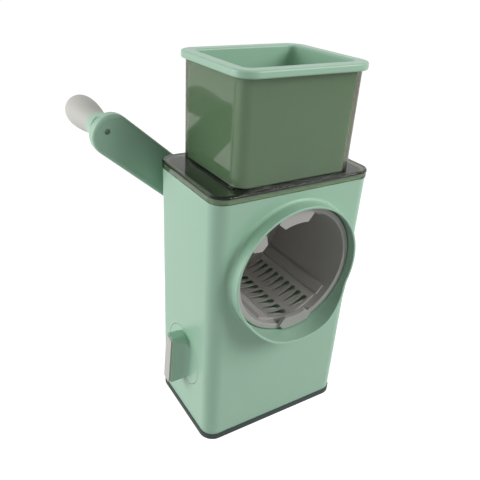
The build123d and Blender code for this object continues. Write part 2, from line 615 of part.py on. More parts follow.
def make_knob_insert():
    """Light strip on the bar's outer face."""
    outline = bar_outline(KNOB_BAR_WIDTH - 2 * INSERT_BORDER, KNOB_BAR_LENGTH - 2 * INSERT_BORDER, 2)
    return extrude(knob_place().offset(KNOB_REACH - INSERT_THICKNESS) * outline, INSERT_THICKNESS)


def make_cam_shaft():
    """Shaft of the knob, with an eccentric pin that lifts the stem."""
    shaft = side_rod(CAM_RADIUS, LEFT + SHELL_WALL, -CAM_PIN_HALF)
    shaft += side_rod(CAM_RADIUS - 1, LEFT + SHELL_WALL / 2, LEFT + SHELL_WALL)
    return shaft + side_rod(CAM_PIN_RADIUS, -CAM_PIN_HALF, CAM_PIN_HALF, CAM_LOW_Y, CAM_LOW_Z)


def yoke_levels():
    """Lower and upper face of the yoke."""
    reach = CAM_PIN_RADIUS + YOKE_MARGIN
    return CAM_LOW_Z - reach, CAM_LOW_Z + reach


def make_suction_stem():
    """Foot, rod and slotted yoke."""
    low, high = yoke_levels()
    stem = post(STEM_RADIUS, STEM_FOOT_Z, low + 1)
    stem += post(STEM_FOOT_RADIUS, STEM_FOOT_Z, STEM_FOOT_Z + STEM_FOOT_THICKNESS)
    stem += post(STEM_SPIGOT, MEMBRANE + 1, STEM_FOOT_Z)
    yoke = Pos(0, 0, (low + high) / 2) * Box(2 * YOKE_HALF_X, 2 * YOKE_HALF_Y, high - low)
    stem += yoke
    travel = CAM_THROW - CAM_LOW_Y
    slot = SlotCenterToCenter(travel + 2 * FIT_GAP, 2 * (CAM_PIN_RADIUS + FIT_GAP))
    place = Plane(origin=(YOKE_HALF_X + 1, CAM_LOW_Y + travel / 2, CAM_LOW_Z), x_dir=(0, 1, 0),
                  z_dir=(-1, 0, 0))
    return stem - extrude(place * slot, 2 * YOKE_HALF_X + 2)


def make_return_spring():
    """Coil between the yoke and the underside of the drum chamber."""
    bottom = yoke_levels()[1] + SPRING_WIRE + 0.2
    top = AXIS_HEIGHT - THROAT_RADIUS - SPRING_WIRE - 0.3
    path = Pos(0, 0, bottom) * Helix((top - bottom) / SPRING_TURNS, top - bottom, SPRING_RADIUS)
    wire = Plane(origin=path @ 0, z_dir=path % 0) * Circle(SPRING_WIRE)
    return sweep(wire, path, is_frenet=True)


def make_suction_pad():
    """Rubber pad: rim under the housing, thin membrane and the boss that the stem holds."""
    half_x = BODY_WIDTH / 2 + FLANGE_LIP
    half_y = BODY_DEPTH / 2 + FLANGE_LIP
    pad = rounded_block(half_x, half_y, BODY_CORNER + FLANGE_LIP, 0, PAD_HEIGHT)
    pad -= rounded_block(half_x - PAD_RIM, half_y - PAD_RIM, BODY_CORNER / 2, MEMBRANE, PAD_HEIGHT + 1)
    pad += post(PAD_BOSS_RADIUS, MEMBRANE / 2, PAD_BOSS_TOP)
    return pad - post(STEM_SPIGOT + BUSH_CLEARANCE, MEMBRANE, PAD_BOSS_TOP + 1)


def make_base_plate():
    """Dished plate inside the housing's foot, with a guide for the stem."""
    gap = SHELL_WALL + FIT_GAP
    half_x, half_y = BODY_WIDTH / 2 - gap, BODY_DEPTH / 2 - gap
    corner = BODY_CORNER - gap
    plate = rounded_block(half_x, half_y, corner, PAD_HEIGHT, PLATE_TOP)
    plate -= rounded_block(half_x - BASE_WALL, half_y - BASE_WALL, corner - BASE_WALL,
                           PAD_HEIGHT - 1, PLATE_TOP - BASE_WALL)
    plate += post(STEM_RADIUS + BASE_WALL, PLATE_TOP - BASE_WALL, PLATE_TOP + 10)
    plate -= post(STEM_RADIUS + BUSH_CLEARANCE, PLATE_TOP - BASE_WALL - 1, PLATE_TOP + 11)
    for x, y in screw_places():
        plate -= post(SCREW_SHANK + BUSH_CLEARANCE, PLATE_TOP - BASE_WALL - 1, PLATE_TOP + 1, x, y)
    return plate


def make_base_screws():
    """Four pan-head screws, up through the base plate into the housing's bosses."""
    under = PLATE_TOP - BASE_WALL
    screws = []
    for x, y in screw_places():
        head = post(SCREW_HEAD, under - SCREW_HEAD_HEIGHT, under, x, y)
        screws.append(head + post(SCREW_SHANK, under, under + SCREW_LENGTH, x, y))
    return Compound(children=[Compound(screw.wrapped) for screw in screws])


def build_all():
    """Every sub-part, by the name of its file."""
    parts = {
        "housing": make_housing(),
        "drum_chamber": make_drum_chamber(),
        "base_plate": make_base_plate(),
        "base_screws": make_base_screws(),
        "suction_pad": make_suction_pad(),
        "suction_stem": make_suction_stem(),
        "return_spring": make_return_spring(),
        "suction_knob": make_suction_knob(),
        "knob_insert": make_knob_insert(),
        "cam_shaft": make_cam_shaft(),
        "rear_bush": make_rear_bush(),
        "thrust_washer": make_thrust_washer(),
        "crank_shaft": make_crank_shaft(),
        "crank_arm": make_crank_arm(),
        "hub_screw": make_hub_screw(),
        "hub_cap": make_hub_cap(),
        "grip": make_grip(),
        "grip_spindle": make_grip_spindle(),
        "grip_screw": make_grip_screw(),
        "drum_collar": make_drum_collar(),
        "drum_frame": make_drum_frame(),
        "drum_hub": make_drum_hub(),
        "hopper": make_hopper(),
        "pusher": make_pusher(),
    }
    for place, centre in plate_centres().items():
        parts[f"shredding_plate_{place}"] = make_shredding_plate(centre)
    return parts


for name, shape in build_all().items():
    export_step(shape, f"parts/{name}.step")
    size = shape.bounding_box().size
    print(f"{name:24s} {len(shape.solids())} solid(s) {size.X:7.1f} {size.Y:7.1f} {size.Z:7.1f}")
print(f"stem lift {STEM_LIFT:.3f} mm, grip axis x {GRIP_X:.2f} z {GRIP_Z:.2f}")
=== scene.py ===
"""Looks of the rotary cabbage shredder: finishes, edges and the fine sheet-metal work of its drum.

Metres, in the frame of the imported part: the origin is the centre of the base on the worktop, +Z is
up, the throat looks along -Y, the crank is at the back and the suction knob on the left.
"""

import json
import math

import bmesh
import bpy
from mathutils import Matrix, Vector


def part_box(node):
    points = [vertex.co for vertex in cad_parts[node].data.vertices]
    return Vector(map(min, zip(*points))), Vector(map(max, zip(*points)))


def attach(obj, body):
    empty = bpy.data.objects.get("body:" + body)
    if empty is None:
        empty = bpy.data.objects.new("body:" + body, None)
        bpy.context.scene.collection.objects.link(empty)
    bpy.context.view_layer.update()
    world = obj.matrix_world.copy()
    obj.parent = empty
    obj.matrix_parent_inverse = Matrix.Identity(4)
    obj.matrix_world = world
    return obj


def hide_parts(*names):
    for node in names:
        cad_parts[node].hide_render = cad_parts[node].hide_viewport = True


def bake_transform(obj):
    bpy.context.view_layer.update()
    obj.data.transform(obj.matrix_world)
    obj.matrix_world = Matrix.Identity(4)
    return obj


bl_info = {
    "name": "Rotary cabbage shredder",
    "version": (1, 0, 0),
    "blender": (4, 5, 0),
    "location": "View3D > Sidebar > Shredder",
    "description": "Dresses a hand-cranked drum shredder with its finishes and sheet-metal drum plates",
    "category": "Object",
}

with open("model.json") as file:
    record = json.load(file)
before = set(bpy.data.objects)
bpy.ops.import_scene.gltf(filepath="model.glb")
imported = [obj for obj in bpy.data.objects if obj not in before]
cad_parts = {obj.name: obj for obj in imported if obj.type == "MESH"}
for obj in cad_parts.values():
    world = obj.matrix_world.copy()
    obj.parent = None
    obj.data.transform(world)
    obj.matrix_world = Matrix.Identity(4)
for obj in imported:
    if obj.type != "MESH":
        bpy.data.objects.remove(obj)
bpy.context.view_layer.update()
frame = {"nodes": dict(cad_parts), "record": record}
MM = 0.001
IMAGE_SIZE = 480            # the photograph is square

# Places read from the frame
FRONT_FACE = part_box("housing")[0].y
PLATE_LOW, PLATE_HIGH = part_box("shredding_plate_lower")
SPRING_LOW, SPRING_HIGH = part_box("return_spring")
HUB_LOW, HUB_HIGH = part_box("drum_hub")
DRUM_AXIS = (HUB_LOW.z + HUB_HIGH.z) / 2

# Facts of the solids that a box doesn't give
LIP_START = FRONT_FACE - 5 * MM     # the throat's lip is in front of this
PAD_MEMBRANE = 3 * MM               # thickness of the pad's thin middle
PAD_BOSS_RADIUS = 9.5 * MM
PAD_MARGIN = 0.05 * MM              # for the corners that lie just on a border
MERGE_REACH = 0.01 * MM             # corners of a formed shape that are one corner

# How a tooth is shaped along its length, from 0 at its root to 1 at its cutting end
ROUND_START = 0.85                  # where its slot begins to close
ROUND_POWER = 2.2                   # how bluntly the slot closes
CURL_POWER = 1.6                    # how late the tongue rises

LEFT_SOFTBOX = (-1.04, 0.49, 0.46)
LEFT_SOFTBOX_SIZE = 0.9
FRONT_SOFTBOX = (0.64, -0.8, 0.76)
FRONT_SOFTBOX_SIZE = 0.6
FLOOR_SIZE = 12
FLOOR_GLOW = 0.91                   # the rest of the floor's white is what the light adds
FLOOR_SHADED = (0.37, 0.37, 0.37, 1)
FLOOR_BOUNCE = (0.45, 0.45, 0.45, 1)    # what the floor sends back to the object

COOLING_PATCH = 28 * MM             # where moulded plastic cooled unevenly
FLOW_PATCH = 45 * MM                # the same in the clear plastic


def linear(code):
    """Linear colour of an sRGB hex value."""
    parts = [int(code[i:i + 2], 16) / 255 for i in (0, 2, 4)]
    return tuple(c / 12.92 if c <= 0.04045 else ((c + 0.055) / 1.055) ** 2.4 for c in parts)


def colour(name, code, description):
    """Colour property whose default is an sRGB hex value."""
    return bpy.props.FloatVectorProperty(name=name, description=description, subtype="COLOR",
                                         size=3, min=0, max=1, default=linear(code))


def length(name, millimetres, description):
    """Length property whose default is given in millimetres."""
    return bpy.props.FloatProperty(name=name, description=description, unit="LENGTH", min=0,
                                   precision=5, default=millimetres * MM)


def angle(name, degrees, description):
    """Angle property whose default is given in degrees."""
    return bpy.props.FloatProperty(name=name, description=description, unit="ROTATION",
                                   default=math.radians(degrees))


class ShredderFinish(bpy.types.PropertyGroup):
    mint: colour("Mint", "A2C9B0", "Moulded body, pusher, crank arm and knob")
    drum_grey: colour("Drum grey", "B1AFAB", "Moulded ring, wall and hub of the drum")
    grip_grey: colour("Grip grey", "C4C4BC", "Grip and the knob's insert")
    steel: colour("Steel", "E2DFDA", "Shredding plates, shafts and screws")
    rubber: colour("Rubber", "243130", "Suction pad")
    bronze: colour("Bronze", "A9855A", "Rear bush")
    smoke: colour("Smoke", "7C864E", "What the tinted hopper lets through")
    smoke_density: bpy.props.FloatProperty(
        name="Smoke density", description="Absorption of the tinted plastic, per metre",
        min=0, default=380.0)


class ShredderSizes(bpy.types.PropertyGroup):
    throat_edge: length("Throat edge", 0.5, "Rounding of the throat's lip")
    knob_edge: length("Knob edge", 0.25, "Rounding of the knob's edges")
    clear_edge: length("Clear edge", 0.4, "Rounding of the hopper's sharp edges")
    moulding_grain: length("Moulding grain", 0.6, "Size of the fine texture of moulded faces")
    brush_line: length("Brush line", 0.25, "Spacing of the lines on brushed steel")
    plate_radius: length("Plate radius", 41.2, "Inner face of the shredding plates, from the drum's axis")
    plate_thickness: length("Plate thickness", 0.7, "Sheet metal of the shredding plates")
    plate_angle: angle("Plate angle", 60.89, "How far a plate reaches round the drum")
    plate_centre: angle("Plate centre", -79.0, "Middle of the lower plate, from +X about the axis")
    tooth_count: bpy.props.IntProperty(name="Teeth in a column", description="Teeth along the drum",
                                       min=1, default=9)
    tooth_pitch: length("Tooth pitch", 7.2, "Spacing of the teeth along the drum")
    tooth_slot: length("Tooth slot", 5.2, "Width of the slot that a tooth is punched from")
    tooth_cut: length("Tooth cut", 0.3, "Width of the cut at a tooth's end and front side")
    tooth_gap: length("Tooth gap", 1.7, "Width of the gap at a tooth's rear side")
    tooth_rise: length("Tooth rise", 3.2, "How far a tooth's cutting end stands out")
    tooth_angle: angle("Tooth length", 20.8, "Length of a tooth round the drum")
    spine_angle: angle("Spine", 6.4, "Strip between the two columns")
    spring_wire: length("Spring wire", 0.7, "Radius of the return spring's wire")
    spring_turns: bpy.props.FloatProperty(name="Spring turns", description="Turns of the return spring",
                                          min=1, default=5)


class ShredderStage(bpy.types.PropertyGroup):
    focal_pixels: bpy.props.FloatProperty(name="Focal length", description="In pixels of the photograph",
                                          default=528.9)
    centre_x: bpy.props.FloatProperty(name="Centre X", description="Principal point, in pixels from the left",
                                      default=224.41)
    centre_y: bpy.props.FloatProperty(name="Centre Y", description="Principal point, in pixels from the top",
                                      default=251.55)
    azimuth: bpy.props.FloatProperty(name="Azimuth", description="Camera's bearing round the object",
                                     unit="ROTATION", default=math.radians(-31.526))
    elevation: bpy.props.FloatProperty(name="Elevation", description="Camera's height angle",
                                       unit="ROTATION", default=math.radians(29.352))
    roll: bpy.props.FloatProperty(name="Roll", description="Camera's turn about its own view",
                                  unit="ROTATION", default=math.radians(2.785))
    distance: length("Distance", 389.71, "Camera to the point that it turns about")
    side_step: bpy.props.FloatProperty(name="Side step", description="That point's place across the view",
                                       unit="LENGTH", default=-24.02 * MM)
    look_height: length("Look height", 127.16, "That point's height")
    world_light: bpy.props.FloatProperty(name="World light", description="Strength of the even white light",
                                         default=0.27)
    key_light: bpy.props.FloatProperty(name="Key light", description="Power of the left softbox, in watts",
                                       default=10.0)
    fill_light: bpy.props.FloatProperty(name="Fill light", description="Power of the front softbox, in watts",
                                        default=8.4)


def settings(group):
    """One of the scene's groups of settings."""
    return getattr(bpy.context.scene, "shredder_" + group)


# ---- nodes -------------------------------------------------------------------------------------
def add_node(tree, kind, inputs=None, **facts):
    """Adds a node with its settings. inputs gives a socket a value or another node's output."""
    made = tree.nodes.new(kind)
    for name, value in facts.items():
        setattr(made, name, value)
    for key, value in (inputs or {}).items():
        if isinstance(value, bpy.types.NodeSocket):
            tree.links.new(value, made.inputs[key])
        else:
            made.inputs[key].default_value = value
    return made


def new_material(name):
    """Empty material and its tree."""
    material = bpy.data.materials.new(name)
    material.use_nodes = True
    tree = material.node_tree
    tree.nodes.clear()
    return material, tree


def finish_material(tree, shader, volume=None):
    """Connects the shader to the material's output."""
    sockets = {"Surface": shader}
    if volume:
        sockets["Volume"] = volume
    add_node(tree, "ShaderNodeOutputMaterial", sockets)


def moulded_plastic(name, tint, roughness, cloud=0.03, grain_height=0.006 * MM):
    """Injection-moulded plastic: even colour, a soft sheen that wavers where the melt cooled
    unevenly, and the fine texture that a spark-eroded mould leaves."""
    material, tree = new_material(name)
    place = add_node(tree, "ShaderNodeTexCoord").outputs["Object"]
    cooling = add_node(tree, "ShaderNodeTexNoise", {
        "Vector": place, "Scale": 1 / COOLING_PATCH, "Detail": 3.0})
    grain_size = settings("sizes").moulding_grain
    grain = add_node(tree, "ShaderNodeTexNoise", {"Vector": place, "Scale": 1 / grain_size, "Detail": 2.0})
    pale = [min(1.0, c * (1 + cloud)) for c in tint] + [1]
    deep = [c * (1 - cloud) for c in tint] + [1]
    shade = add_node(tree, "ShaderNodeMix", {0: cooling.outputs["Fac"]}, data_type="RGBA")
    shade.inputs[6].default_value = deep
    shade.inputs[7].default_value = pale
    sheen = add_node(tree, "ShaderNodeMapRange", {
        "Value": cooling.outputs["Fac"], "To Min": roughness - 0.04, "To Max": roughness + 0.05})
    bump = add_node(tree, "ShaderNodeBump", {
        "Height": grain.outputs["Fac"], "Strength": 0.35, "Distance": grain_height})
    shader = add_node(tree, "ShaderNodeBsdfPrincipled", {
        "Base Color": shade.outputs[2], "Roughness": sheen.outputs["Result"],
        "Normal": bump.outputs["Normal"], "IOR": 1.5})
    finish_material(tree, shader.outputs[0])
    return material


def mint_abs():
    """Mint ABS, moulded and satin: broad soft highlights."""
    return moulded_plastic("mint moulded ABS", settings("finish").mint, 0.34)


def grey_abs():
    """Warm grey ABS of the drum, a little duller than the body."""
    return moulded_plastic("grey moulded ABS", settings("finish").drum_grey, 0.42)


def grip_polypropylene():
    """Pale grey polypropylene, waxy and soft in its highlights."""
    return moulded_plastic("pale grey moulded polypropylene", settings("finish").grip_grey, 0.45)


def pad_rubber():
    """Dark green moulded rubber: matt, with a powdery bloom in patches."""
    return moulded_plastic("dark moulded rubber", settings("finish").rubber, 0.62, 0.10, 0.02 * MM)


def smoke_acrylic():
    """Smoke-tinted clear acrylic: polished, and darker at its edges, where light goes a longer way."""
    material, tree = new_material("smoke clear acrylic")
    place = add_node(tree, "ShaderNodeTexCoord").outputs["Object"]
    flow = add_node(tree, "ShaderNodeTexNoise", {"Vector": place, "Scale": 1 / FLOW_PATCH, "Detail": 1.0})
    bump = add_node(tree, "ShaderNodeBump", {
        "Height": flow.outputs["Fac"], "Strength": 0.25, "Distance": 0.05 * MM})
    haze = add_node(tree, "ShaderNodeMapRange", {
        "Value": flow.outputs["Fac"], "To Min": 0.02, "To Max": 0.06})
    shader = add_node(tree, "ShaderNodeBsdfPrincipled", {
        "Base Color": (1, 1, 1, 1), "Roughness": haze.outputs["Result"], "IOR": 1.36,
        "Transmission Weight": 1.0, "Normal": bump.outputs["Normal"]})
    shadow = add_node(tree, "ShaderNodeBsdfTransparent", {"Color": (0.92, 0.92, 0.92, 1)})
    ray = add_node(tree, "ShaderNodeLightPath")
    both = add_node(tree, "ShaderNodeMixShader", {
        0: ray.outputs["Is Shadow Ray"], 1: shader.outputs[0], 2: shadow.outputs[0]})
    depth = add_node(tree, "ShaderNodeVolumeAbsorption", {
        "Color": (*settings("finish").smoke, 1), "Density": settings("finish").smoke_density})
    finish_material(tree, both.outputs[0], depth.outputs[0])
    return material


def brushed_steel():
    """Stainless strip, rolled and brushed along the drum: fine lines that stretch highlights."""
    material, tree = new_material("brushed stainless steel")
    place = add_node(tree, "ShaderNodeTexCoord").outputs["Object"]
    line = settings("sizes").brush_line
    stretched = add_node(tree, "ShaderNodeMapping", {
        "Vector": place, "Scale": (1 / line, 1 / (40 * line), 1 / line)})
    lines = add_node(tree, "ShaderNodeTexNoise", {
        "Vector": stretched.outputs[0], "Scale": 1.0, "Detail": 3.0})
    wear = add_node(tree, "ShaderNodeMapRange", {
        "Value": lines.outputs["Fac"], "To Min": 0.50, "To Max": 0.66})
    steel = settings("finish").steel
    shade = add_node(tree, "ShaderNodeMix", {0: lines.outputs["Fac"]}, data_type="RGBA")
    shade.inputs[6].default_value = (*[c * 0.82 for c in steel], 1)
    shade.inputs[7].default_value = (*steel, 1)
    bump = add_node(tree, "ShaderNodeBump", {
        "Height": lines.outputs["Fac"], "Strength": 0.3, "Distance": 0.01 * MM})
    shader = add_node(tree, "ShaderNodeBsdfPrincipled", {
        "Base Color": shade.outputs[2], "Metallic": 1.0, "Roughness": wear.outputs["Result"],
        "Normal": bump.outputs["Normal"]})
    finish_material(tree, shader.outputs[0])
    return material


def sintered_bronze():
    """Sintered bronze: porous, so dull and finely speckled."""
    material, tree = new_material("sintered bronze")
    place = add_node(tree, "ShaderNodeTexCoord").outputs["Object"]
    pores = add_node(tree, "ShaderNodeTexVoronoi", {"Vector": place, "Scale": 1 / (0.5 * MM)})
    bronze = settings("finish").bronze
    shade = add_node(tree, "ShaderNodeMix", {0: pores.outputs["Distance"]}, data_type="RGBA")
    shade.inputs[6].default_value = (*[c * 0.6 for c in bronze], 1)
    shade.inputs[7].default_value = (*bronze, 1)
    shader = add_node(tree, "ShaderNodeBsdfPrincipled", {
        "Base Color": shade.outputs[2], "Metallic": 1.0, "Roughness": 0.5})
    finish_material(tree, shader.outputs[0])
    return material


MAKERS = {
    "mint_plastic": mint_abs,
    "grey_plastic": grey_abs,
    "light_plastic": grip_polypropylene,
    "rubber": pad_rubber,
    "smoke_plastic": smoke_acrylic,
    "steel": brushed_steel,
    "bronze": sintered_bronze,
}
made_materials = {}


def finish_of(slot):
    """The finish of one of the record's material slots, made once."""
    if slot not in made_materials:
        made_materials[slot] = MAKERS[slot]()
    return made_materials[slot]


def slot_of(node):
    """The record's material slot of a CAD node."""
    return next(s["material_slot"] for s in frame["record"]["subparts"] if s["node"] == node)


def body_of(node):
    """The CAD body that holds a node."""
    return next(b for b, nodes in frame["record"]["behaviour"]["bodies"].items() if node in nodes)


# ---- shapes that repeat --------------------------------------------------------------------------
def new_form(name, sizes, counts):
    """Geometry Nodes tree with named inputs for its sizes, its counts and its finish."""
    tree = bpy.data.node_groups.new(name, "GeometryNodeTree")
    sockets = [(size, "NodeSocketFloat") for size in sizes] + [(count, "NodeSocketInt") for count in counts]
    for label, kind in (*sockets, ("Finish", "NodeSocketMaterial")):
        tree.interface.new_socket(label, in_out="INPUT", socket_type=kind)
    tree.interface.new_socket("Geometry", in_out="OUTPUT", socket_type="NodeSocketGeometry")
    return tree, add_node(tree, "NodeGroupInput").outputs


def end_form(tree, given, shape):
    """Makes the shape real and gives it its finish."""
    real = add_node(tree, "GeometryNodeRealizeInstances", {0: shape})
    shown = add_node(tree, "GeometryNodeSetMaterial", {
        "Geometry": real.outputs[0], "Material": given["Finish"]})
    add_node(tree, "NodeGroupOutput", {0: shown.outputs[0]})


def join_shapes(tree, shapes):
    """Joins shapes and merges the corners where they meet."""
    joined = add_node(tree, "GeometryNodeJoinGeometry")
    for shape in shapes:
        tree.links.new(shape, joined.inputs[0])
    return add_node(tree, "GeometryNodeMergeByDistance", {
        "Geometry": joined.outputs[0], "Distance": MERGE_REACH}).outputs[0]


def flat_strip(tree, width, depth, steps, **shift):
    """Flat strip of the plate as it lies before it is bent, moved by shift. Widths are angles."""
    strip = add_node(tree, "GeometryNodeMeshGrid", {
        "Size X": width, "Size Y": depth, "Vertices X": steps[0], "Vertices Y": steps[1]})
    move = add_node(tree, "ShaderNodeCombineXYZ", shift)
    return add_node(tree, "GeometryNodeTransform", {
        "Geometry": strip.outputs[0], "Translation": move.outputs[0]}).outputs[0]


def tooth_cell(tree, given, half):
    """One tooth: a tongue that curls out of its round-ended slot, and the metal beside the slot."""
    place = add_node(tree, "ShaderNodeSeparateXYZ", {
        0: add_node(tree, "GeometryNodeInputPosition").outputs[0]}).outputs
    root = add_node(tree, "ShaderNodeMath", {0: half["Tooth Angle"], 1: -1.0}, operation="MULTIPLY")
    along = add_node(tree, "ShaderNodeMapRange", {
        "Value": place["X"], "From Min": root.outputs[0], "From Max": half["Tooth Angle"]}).outputs[0]
    late = add_node(tree, "ShaderNodeMapRange", {"Value": along, "From Min": ROUND_START})
    late = add_node(tree, "ShaderNodeMath", {0: late.outputs[0], 1: ROUND_POWER}, operation="POWER")
    outline = add_node(tree, "ShaderNodeMath", {0: 1.0, 1: late.outputs[0]}, operation="SUBTRACT")
    outline = add_node(tree, "ShaderNodeMath", {0: outline.outputs[0]}, operation="SQRT").outputs[0]

    # The tongue narrows with its slot and stays nearer to the slot's front side
    cut = add_node(tree, "ShaderNodeMath", {0: given["Cut"], 1: given["Radius"]}, operation="DIVIDE")
    reach = add_node(tree, "ShaderNodeMath", {
        0: given["Tooth Angle"], 1: cut.outputs[0]}, operation="SUBTRACT")
    back_step = add_node(tree, "ShaderNodeMath", {0: cut.outputs[0], 1: -0.5}, operation="MULTIPLY")
    freed = add_node(tree, "ShaderNodeMath", {0: given["Cut"], 1: given["Rear Gap"]}, operation="ADD")
    width = add_node(tree, "ShaderNodeMath", {0: given["Slot"], 1: freed.outputs[0]}, operation="SUBTRACT")
    aside = add_node(tree, "ShaderNodeMath", {0: given["Cut"], 1: given["Rear Gap"]}, operation="SUBTRACT")
    aside = add_node(tree, "ShaderNodeMath", {0: aside.outputs[0], 1: 0.5}, operation="MULTIPLY")
    tongue = flat_strip(tree, reach.outputs[0], width.outputs[0], (15, 5),
                        X=back_step.outputs[0], Y=aside.outputs[0])
    narrow = add_node(tree, "ShaderNodeMath", {0: place["Y"], 1: outline}, operation="MULTIPLY")
    curl = add_node(tree, "ShaderNodeMath", {0: along, 1: CURL_POWER}, operation="POWER")
    rise = add_node(tree, "ShaderNodeMath", {0: curl.outputs[0], 1: given["Rise"]}, operation="MULTIPLY")
    curled = add_node(tree, "ShaderNodeCombineXYZ", {
        "X": place["X"], "Y": narrow.outputs[0], "Z": rise.outputs[0]})
    tongue = add_node(tree, "GeometryNodeSetPosition", {"Geometry": tongue, "Position": curled.outputs[0]})

    # The metal beside the slot, on one side and then mirrored
    bar_width = add_node(tree, "ShaderNodeMath", {0: half["Pitch"], 1: half["Slot"]}, operation="SUBTRACT")
    bar_middle = add_node(tree, "ShaderNodeMath", {
        0: bar_width.outputs[0], 1: 0.5, 2: half["Slot"]}, operation="MULTIPLY_ADD")
    bar = flat_strip(tree, given["Tooth Angle"], bar_width.outputs[0], (15, 2), Y=bar_middle.outputs[0])
    slot_edge = add_node(tree, "ShaderNodeMath", {0: half["Slot"], 1: outline}, operation="MULTIPLY")
    filled = add_node(tree, "ShaderNodeMapRange", {
        "Value": place["Y"], "From Min": half["Slot"], "From Max": half["Pitch"],
        "To Min": slot_edge.outputs[0], "To Max": half["Pitch"]}, clamp=False)
    shaped = add_node(tree, "ShaderNodeCombineXYZ", {"X": place["X"], "Y": filled.outputs[0]})
    bar = add_node(tree, "GeometryNodeSetPosition", {"Geometry": bar, "Position": shaped.outputs[0]})
    mirrored = add_node(tree, "GeometryNodeTransform", {"Geometry": bar.outputs[0], "Scale": (1, -1, 1)})
    mirrored = add_node(tree, "GeometryNodeFlipFaces", {0: mirrored.outputs[0]})
    return join_shapes(tree, (tongue.outputs[0], bar.outputs[0], mirrored.outputs[0]))


def tooth_columns(tree, given, half, block):
    """The tooth repeated along the drum, in a column on each side of the spine."""
    first = add_node(tree, "ShaderNodeMath", {0: block, 1: -0.5, 2: half["Pitch"]}, operation="MULTIPLY_ADD")
    start = add_node(tree, "ShaderNodeCombineXYZ", {"Y": first.outputs[0]})
    step = add_node(tree, "ShaderNodeCombineXYZ", {"Y": given["Pitch"]})
    line = add_node(tree, "GeometryNodeMeshLine", {
        "Count": given["Teeth"], "Start Location": start.outputs[0], "Offset": step.outputs[0]})
    column = add_node(tree, "GeometryNodeInstanceOnPoints", {
        "Points": line.outputs[0], "Instance": tooth_cell(tree, given, half)})
    out = add_node(tree, "ShaderNodeMath", {0: half["Tooth Angle"], 1: half["Spine Angle"]}, operation="ADD")
    columns = []
    for side in (-1, 1):
        shift = add_node(tree, "ShaderNodeMath", {0: out.outputs[0], 1: side}, operation="MULTIPLY")
        move = add_node(tree, "ShaderNodeCombineXYZ", {"X": shift.outputs[0]})
        columns.append(add_node(tree, "GeometryNodeTransform", {
            "Geometry": column.outputs[0], "Translation": move.outputs[0]}).outputs[0])
    return columns


def plain_strips(tree, given, half, block):
    """The plate's plain metal: its spine, its two margins and its two ends."""
    columns_end = add_node(tree, "ShaderNodeMath", {
        0: given["Tooth Angle"], 1: half["Spine Angle"]}, operation="ADD").outputs[0]
    margin = add_node(tree, "ShaderNodeMath", {0: half["Plate Angle"], 1: columns_end}, operation="SUBTRACT")
    margin_out = add_node(tree, "ShaderNodeMath", {
        0: margin.outputs[0], 1: 0.5, 2: columns_end}, operation="MULTIPLY_ADD")
    spare = add_node(tree, "ShaderNodeMath", {0: given["Length"], 1: block}, operation="SUBTRACT")
    end = add_node(tree, "ShaderNodeMath", {0: spare.outputs[0], 1: 0.5}, operation="MULTIPLY")
    end_out = add_node(tree, "ShaderNodeMath", {0: given["Length"], 1: end.outputs[0]}, operation="SUBTRACT")
    strips = [flat_strip(tree, given["Spine Angle"], block, (5, 2))]
    for side in (-0.5, 0.5):
        shift = add_node(tree, "ShaderNodeMath", {
            0: margin_out.outputs[0], 1: 2 * side}, operation="MULTIPLY")
        strips.append(flat_strip(tree, margin.outputs[0], block, (5, 2), X=shift.outputs[0]))
        shift = add_node(tree, "ShaderNodeMath", {0: end_out.outputs[0], 1: side}, operation="MULTIPLY")
        strips.append(flat_strip(tree, given["Plate Angle"], end.outputs[0], (61, 2), Y=shift.outputs[0]))
    return strips


def bend_round_drum(tree, given, sheet):
    """Turns the flat plate's angles and heights into places about the drum's axis."""
    place = add_node(tree, "ShaderNodeSeparateXYZ", {
        0: add_node(tree, "GeometryNodeInputPosition").outputs[0]}).outputs
    turn = add_node(tree, "ShaderNodeMath", {0: place["X"], 1: given["Centre"]}, operation="ADD")
    radius = add_node(tree, "ShaderNodeMath", {0: place["Z"], 1: given["Radius"]}, operation="ADD")
    cosine = add_node(tree, "ShaderNodeMath", {0: turn.outputs[0]}, operation="COSINE")
    sine = add_node(tree, "ShaderNodeMath", {0: turn.outputs[0]}, operation="SINE")
    x = add_node(tree, "ShaderNodeMath", {0: cosine.outputs[0], 1: radius.outputs[0]}, operation="MULTIPLY")
    y = add_node(tree, "ShaderNodeMath", {0: place["Y"], 1: given["Middle"]}, operation="ADD")
    z = add_node(tree, "ShaderNodeMath", {
        0: sine.outputs[0], 1: radius.outputs[0], 2: given["Axis Height"]}, operation="MULTIPLY_ADD")
    bent = add_node(tree, "ShaderNodeCombineXYZ", {"X": x.outputs[0], "Y": y.outputs[0], "Z": z.outputs[0]})
    bent = add_node(tree, "GeometryNodeSetPosition", {"Geometry": sheet, "Position": bent.outputs[0]})
    return add_node(tree, "GeometryNodeFlipFaces", {0: bent.outputs[0]}).outputs[0]


